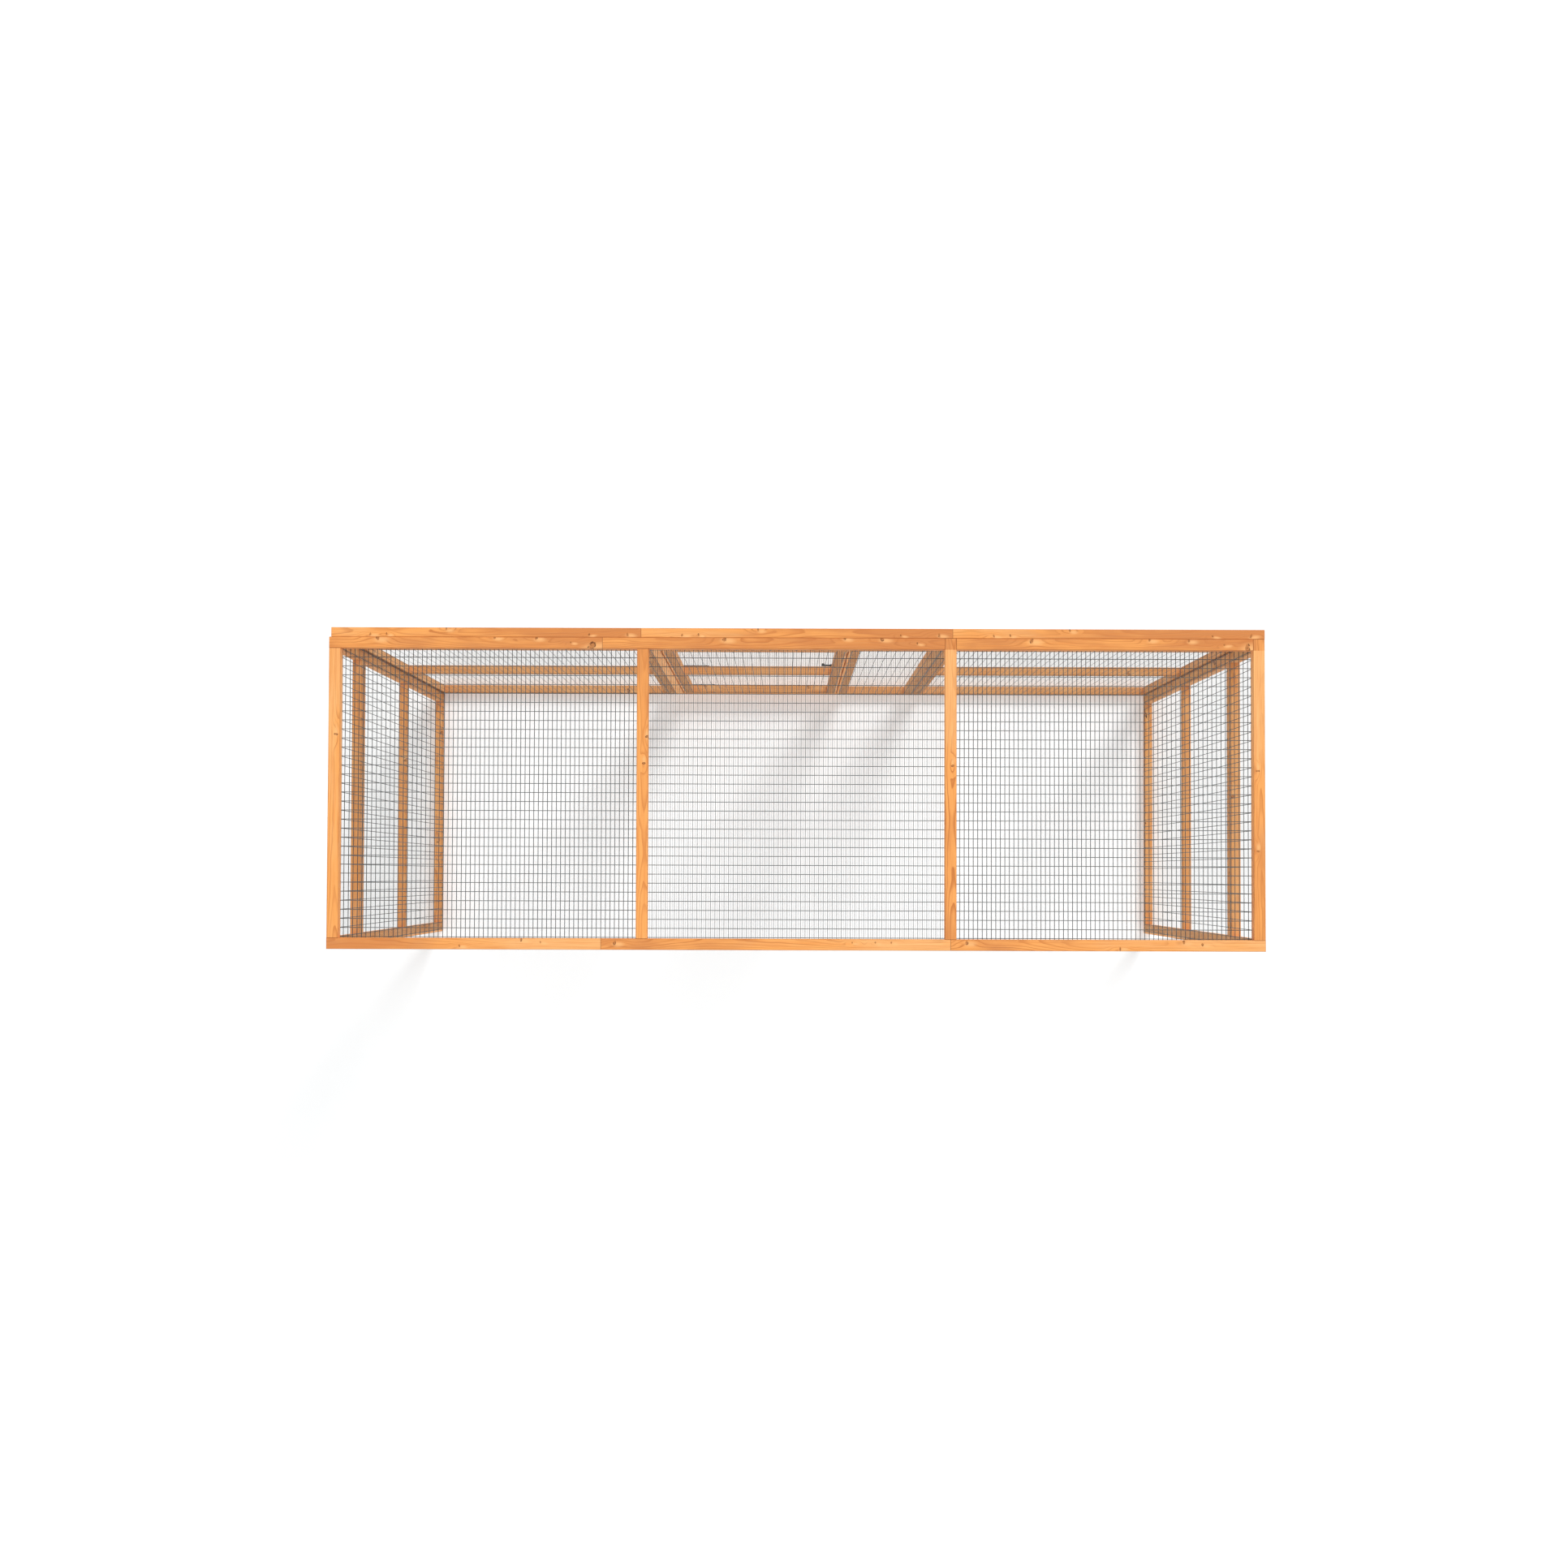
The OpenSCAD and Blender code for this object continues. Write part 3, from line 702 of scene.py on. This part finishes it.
# %% Powder coat on the ironwork
iron, c, shader = new_material("black_iron_coat")
place = c.add("ShaderNodeTexCoord").outputs["Object"]
clean_coat = (0.018, 0.018, 0.019, 1)
dusty_coat = (0.050, 0.046, 0.042, 1)
peel = c.noise(place, 900, 2)
dust = c.noise(place, 60, 4, 0.6)
coat = c.blend(c.step(dust, 0.45, 0.8, 0.0, 0.7), clean_coat, dusty_coat)
c.feed(shader.inputs["Base Color"], coat)
c.feed(shader.inputs["Roughness"], c.sum("ADD", 0.36, c.sum("MULTIPLY", dust, 0.25)))
bump = c.add("ShaderNodeBump", {"Height": peel, "Strength": 0.35, "Distance": 0.0002})
c.feed(shader.inputs["Normal"], bump.outputs[0])
ironwork = ["hinge_flanges", "hinge_pins", "hinge_straps", "bolt_plate", "bolt_rod", "bolt_keeper"]
for name in ironwork:
    nodes[name].data.materials.clear()
    nodes[name].data.materials.append(iron)
print("iron nodes:", len(ironwork))

# %% [markdown]
# ## Staples
#
# The wire is held by staples: short U shapes of round wire, driven in over a crossing, so that one staple
# holds two wires. They are too small to show in the photograph, so their size and their places are a guess
# from how such panels are made. One is modelled as it is bent in the factory. It starts as a six-sided
# cylinder, the crown. Each end face is spun through a quarter turn, which makes the bend, and then extruded
# straight down into the timber.

# %% Bend one staple
staple_crown = 0.0098
staple_r = 0.00055
staple_leg = 0.0020
staple_bend = 0.0010

pick_nothing()
bpy.ops.mesh.primitive_cylinder_add(vertices=6, radius=staple_r, depth=staple_crown - 2 * staple_bend,
                                    end_fill_type="NGON", rotation=(0, math.pi / 2, 0))
staple = bpy.context.object
staple.name = "staple_pattern"
bpy.ops.object.transform_apply(location=True, rotation=True, scale=True)
for end in (-1, 1):
    pick_parts("FACE", lambda face: face.normal.x * end > 0.9 and face.center.x * end > 0)
    bend_at = (end * (staple_crown / 2 - staple_bend), 0, -staple_bend)
    bpy.ops.mesh.spin(steps=2, angle=-end * math.pi / 2, center=bend_at, axis=(0, 1, 0))
    bpy.ops.mesh.extrude_region_move(TRANSFORM_OT_translate={"value": (0, 0, -staple_leg)})
bpy.ops.mesh.select_all(action="SELECT")
bpy.ops.mesh.remove_doubles(threshold=0.00001)
bpy.ops.mesh.normals_make_consistent(inside=False)
bpy.ops.object.mode_set(mode="OBJECT")
bpy.ops.object.shade_smooth_by_angle(angle=math.radians(40))
print("one staple:", len(staple.data.polygons), "faces", [round(v * 1000, 1) for v in staple.dimensions])

# %% [markdown]
# The staples run round each panel and along the rails that the wire passes. Each line of staples is moved
# onto the nearest wire and each staple onto the nearest crossing. A hand with a staple gun is never quite
# regular, so the turn wanders by a few degrees and the spacing by a crossing or two. The last wire lies
# right at the back edge of the timber, so there the staples are set a little inwards of it. Each staple is
# a copy with its own mesh, and the mesh is moved, not the object, so that every object stays at the origin.

# %% Drive the staples
zinc_bright, c, shader = new_material("staple_wire")
place = c.add("ShaderNodeTexCoord").outputs["Object"]
dark_drawn = (0.20, 0.21, 0.21, 1)
bright_drawn = (0.42, 0.43, 0.42, 1)
c.feed(shader.inputs["Base Color"], c.blend(c.noise(place, 500, 2), dark_drawn, bright_drawn))
c.feed(shader.inputs["Roughness"], c.sum("ADD", 0.28, c.sum("MULTIPLY", c.noise(place, 90, 3), 0.3)))
shader.inputs["Metallic"].default_value = 0.8

# For each panel: lines across the grid as (side, from, to) at a fixed side place, then (rise, from, to) at a
# fixed rise place, in mm. Side is X, or Y on the side walls. Rise is Z, or Y on the roof.
front_lines = ([(476, 20, 2208), (1341, 20, 2208)], [(21, 490, 1320), (920, 490, 1320), (1848, 490, 1320)])
side_low = ([(-420, 20, 1808), (460, 20, 1808)], [(20, -380, 430), (920, -380, 430), (1808, -380, 430)])
side_high = ([(-420, 1850, 2208), (460, 1850, 2208)], [(1850, -380, 430), (2208, -380, 430)])
roof_ends = ([(459, -420, 455), (1341, -420, 455)], [(-422, 500, 1310), (461, 500, 1310)])


def mirrored(lines):
    """The same lines for the panel on the other side of the door."""
    upright, level = lines
    return ([(-at, low, high) for at, low, high in upright], [(at, -high, -low) for at, low, high in level])


staple_lines = {
    "front_net_right": front_lines, "front_net_left": mirrored(front_lines),
    "transom_net": ([(-436, 1860, 2208), (436, 1860, 2208)], [(1858, -400, 400)]),
    "sidelight_net": ([(-436, 20, 1836), (-180, 20, 1836)], [(20, -400, -215), (1838, -400, -215)]),
    "door_net": ([(-143, 62, 1806), (401, 62, 1806)], [(62, -110, 370), (920, -110, 370), (1806, -110, 370)]),
    "side_lower_net_left": side_low, "side_lower_net_right": side_low,
    "side_upper_net_left": side_high, "side_upper_net_right": side_high,
    "roof_net_right": roof_ends, "roof_net_left": mirrored(roof_ends),
    "roof_net_middle": ([(-443, -420, 455), (443, -420, 455)], [(-422, -400, 400), (461, -400, 400)]),
}
staple_limit = cad_box[1][1] - 0.0048
staple_lift = wire_t + staple_r * 0.6
staple_spacing = (0.085, 0.115)


def into_timber(node):
    """The direction in which the staples of a panel are driven."""
    if node.startswith("side_"):
        return Vector((-1 if node.endswith("left") else 1, 0, 0))
    return Vector((0, 0, 1) if node.startswith("roof_") else (0, -1, 0))


def copy_at(pattern, matrix):
    """A copy of a pattern with its own mesh, moved and turned in that mesh."""
    copy = pattern.copy()
    copy.data = pattern.data.copy()
    copy.data.transform(matrix)
    bpy.context.scene.collection.objects.link(copy)
    return copy


def drive_staples(node):
    """Staples one panel to its timber, and tells how many staples that took."""
    crossing, pitch, flat = grids[node]
    rng = random.Random(node)
    inwards = into_timber(node)
    side, rise = [axis for axis in range(3) if axis != flat]
    facing = Vector((0, 0, -1)).rotation_difference(inwards).to_matrix().to_4x4()
    copies = []
    for (fixed, run), lines in zip(((side, rise), (rise, side)), staple_lines[node]):
        for at, low, high in lines:
            spot = Vector(crossing)
            spot[fixed] += round((at / 1000 - spot[fixed]) / pitch[fixed]) * pitch[fixed]
            run_at = low / 1000
            while run_at <= high / 1000:
                spot[run] = crossing[run] + round((run_at - crossing[run]) / pitch[run]) * pitch[run]
                spot.y = min(spot.y, staple_limit)
                turn = Matrix.Rotation(math.radians(rng.choice((45, 135)) + rng.uniform(-9, 9)), 4, "Z")
                place = Matrix.Translation(spot - inwards * staple_lift)
                copies.append(copy_at(staple, place @ facing @ turn))
                run_at += rng.uniform(*staple_spacing)
    row = joined(copies, node.replace("_net", "_staples"))
    row.data.materials.append(zinc_bright)
    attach(row, "door" if node == "door_net" else "enclosure")
    return len(copies)


staple_count = sum([drive_staples(node) for node in nets])
bpy.data.objects.remove(staple)
print("staples:", staple_count)

# %% [markdown]
# ## Screws
#
# The front faces of the irons don't show in the photograph. Such irons are held by black dome-head screws.
# The head starts as a flat cylinder, and its top face is extruded and drawn in a few times, which rounds it
# into a dome. The cross in the head is cut with a Boolean modifier by two crossed bars, as the punch does
# it. All screws are copies of the one, some of them smaller.

# %% Turn one screw head
# The cross's arms are in mm, because the cube that they start from is 1 mm
head_r = 0.0036
dome = ((0.0005, 0.90), (0.0004, 0.80), (0.0002, 0.66), (0.00006, 0.5))
cross_z = 0.0018
arm_long = 2.5
arm_wide = 0.62
arm_deep = 1.8
arm_taper = 0.55

pick_nothing()
bpy.ops.mesh.primitive_cylinder_add(vertices=20, radius=head_r, depth=0.0008, end_fill_type="NGON",
                                    location=(0, 0, 0.0002))
screw = bpy.context.object
screw.name = "screw_pattern"
bpy.ops.object.transform_apply(location=True, rotation=True, scale=True)
pick_parts("FACE", lambda face: face.normal.z > 0.9)
for rise_by, draw_in in dome:
    bpy.ops.mesh.extrude_region_move(TRANSFORM_OT_translate={"value": (0, 0, rise_by)})
    bpy.ops.transform.resize(value=(draw_in, draw_in, 1), center_override=(0, 0, 0))
bpy.ops.object.mode_set(mode="OBJECT")

bars = []
for arm_x, arm_y in ((arm_long, arm_wide), (arm_wide, arm_long)):
    pick_nothing()
    bpy.ops.mesh.primitive_cube_add(size=0.001, location=(0, 0, cross_z))
    bar = bpy.context.object
    bar.scale = (arm_x, arm_y, arm_deep)
    bpy.ops.object.transform_apply(location=True, rotation=True, scale=True)
    pick_parts("VERT", lambda corner: corner.co.z < cross_z)
    bpy.ops.transform.resize(value=(arm_taper, arm_taper, 1), center_override=(0, 0, cross_z))
    bpy.ops.object.mode_set(mode="OBJECT")
    bars.append(bar)
for bar in bars:
    pick_nothing()
    screw.select_set(True)
    bpy.context.view_layer.objects.active = screw
    cut = screw.modifiers.new("cut", "BOOLEAN")
    cut.operation = "DIFFERENCE"
    cut.solver = "EXACT"
    cut.object = bar
    bpy.ops.object.modifier_apply(modifier=cut.name)
    bpy.data.objects.remove(bar)
bpy.ops.object.shade_smooth_by_angle(angle=math.radians(38))
screw_height = max(vertex.co.z for vertex in screw.data.vertices)
print("screw head:", len(screw.data.polygons), "faces, height", round(screw_height * 1000, 2), "mm")

# %% [markdown]
# Screws on the straps and on the bolt's plate move with the door. Those on the flanges and on the keeper
# stay. Each is given a random turn about its own axis, because a screw stops where it is tight. Its place is
# X, Y and Z in metres on the front face of its iron, and the bolt's screws are smaller.

# %% Drive the screws
hinge_heights = (0.060, 0.920, 1.807)
bolt_height = 0.920
strap_face = -0.468
plate_face = -0.4665
strap_row = (0.308, 0.352, 0.396)
flange_x = 0.4425
flange_steps = (-0.036, -0.012, 0.012, 0.036)
plate_row = (-0.1465, -0.1345)
plate_steps = (-0.0085, 0.0085)
keeper_x = -0.183
keeper_steps = (-0.007, 0.007)
small_head = 0.62
screws = {
    "strap_screws": ("door", [(x, strap_face, z, 1.0) for z in hinge_heights for x in strap_row]),
    "flange_screws": ("enclosure", [(flange_x, strap_face, z + dz, 1.0) for z in hinge_heights
                                    for dz in flange_steps]),
    "bolt_screws": ("door", [(x, plate_face, bolt_height + dz, small_head) for x in plate_row
                             for dz in plate_steps]),
    "keeper_screws": ("enclosure", [(keeper_x, plate_face, bolt_height + dz, small_head)
                                    for dz in keeper_steps]),
}
rng = random.Random(7)
facing = Matrix.Rotation(math.pi / 2, 4, "X")
for name, (body, places) in screws.items():
    copies = []
    for x, y, z, scale in places:
        turn = Matrix.Rotation(rng.uniform(0, math.pi), 4, "Z")
        matrix = Matrix.Translation((x, y, z)) @ facing @ turn @ Matrix.Scale(scale, 4)
        copies.append(copy_at(screw, matrix))
    row = joined(copies, name)
    row.data.materials.append(iron)
    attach(row, body)
bpy.data.objects.remove(screw)
print("screws:", sum(len(places) for body, places in screws.values()))

# %% [markdown]
# ## Floor
#
# The photograph has a white ground that takes soft shadows. The floor is a pale diffuse plane. It adds a
# little light of its own, but only where it is seen, straight on or in a reflection, so that the open
# ground reads as white while the light on the timber stays at its plain level.

# %% Floor
pick_nothing()
floor_w = 60
bpy.ops.mesh.primitive_plane_add(size=floor_w, location=(0, 0, 0))
floor = bpy.context.object
floor.name = "floor"
material, c, shader = new_material("pale_floor")
shader.inputs["Roughness"].default_value = 1.0
shader.inputs["Specular IOR Level"].default_value = 0.0


def seen_rays(circuit):
    """1 for rays that show a thing to the viewer, also in metal and glass, and 0 for rays that light."""
    rays = circuit.add("ShaderNodeLightPath").outputs
    return circuit.sum("MAXIMUM", rays["Is Camera Ray"],
                       circuit.sum("MAXIMUM", rays["Is Glossy Ray"], rays["Is Transmission Ray"]))


seen = seen_rays(c)
lighting_floor = (0.85, 0.85, 0.85, 1)
seen_floor = (0.968, 0.990, 1, 1)
seen_glow = 0.15
c.feed(shader.inputs["Base Color"], c.blend(seen, lighting_floor, seen_floor))
shader.inputs["Emission Color"].default_value = (1, 1, 1, 1)
c.feed(shader.inputs["Emission Strength"], c.sum("MULTIPLY", seen, seen_glow))
floor.data.materials.append(material)
print("floor laid")

# %% [markdown]
# ## Light
#
# Three lights, as in a small studio. A quiet even sky fills everything. A low soft sun in front of the
# enclosure draws the slanting shadows of the posts across the floor: near a post's foot they are crisp, and
# they widen and fade further off, which tells how wide the lamp is. A very wide lamp overhead, leaning the
# other way, lifts the inner faces of the front wall.

# %% Sky and lamps
world = bpy.data.worlds.new("studio")
world.use_nodes = True
bpy.context.scene.world = world
sky = Circuit(world.node_tree)
backdrop = world.node_tree.nodes["Background"]
backdrop.inputs["Color"].default_value = (1, 1, 1, 1)
sky_light = 0.58
sky_seen = 1.08
sky.feed(backdrop.inputs["Strength"], sky.step(seen_rays(sky), 0.0, 1.0, sky_light, sky_seen))


def sun_lamp(name, shines, energy, angle):
    """A sun that shines along a direction; the angle is how wide it looks, in radians."""
    data = bpy.data.lights.new(name, "SUN")
    data.energy = energy
    data.angle = angle
    lamp = bpy.data.objects.new(name, data)
    bpy.context.scene.collection.objects.link(lamp)
    lamp.rotation_euler = Vector(shines).to_track_quat("-Z", "Y").to_euler()
    # A sun's place changes nothing in the picture: this only keeps the lamp clear of the enclosure
    lamp.location = -4 * Vector(shines)


sun_lamp("low_sun", shines=(0.395, 0.705, -0.588), energy=1.76, angle=0.42)
sun_lamp("overhead_fill", shines=(-0.40, -0.48, -0.78), energy=0.60, angle=1.20)
print("light is set")
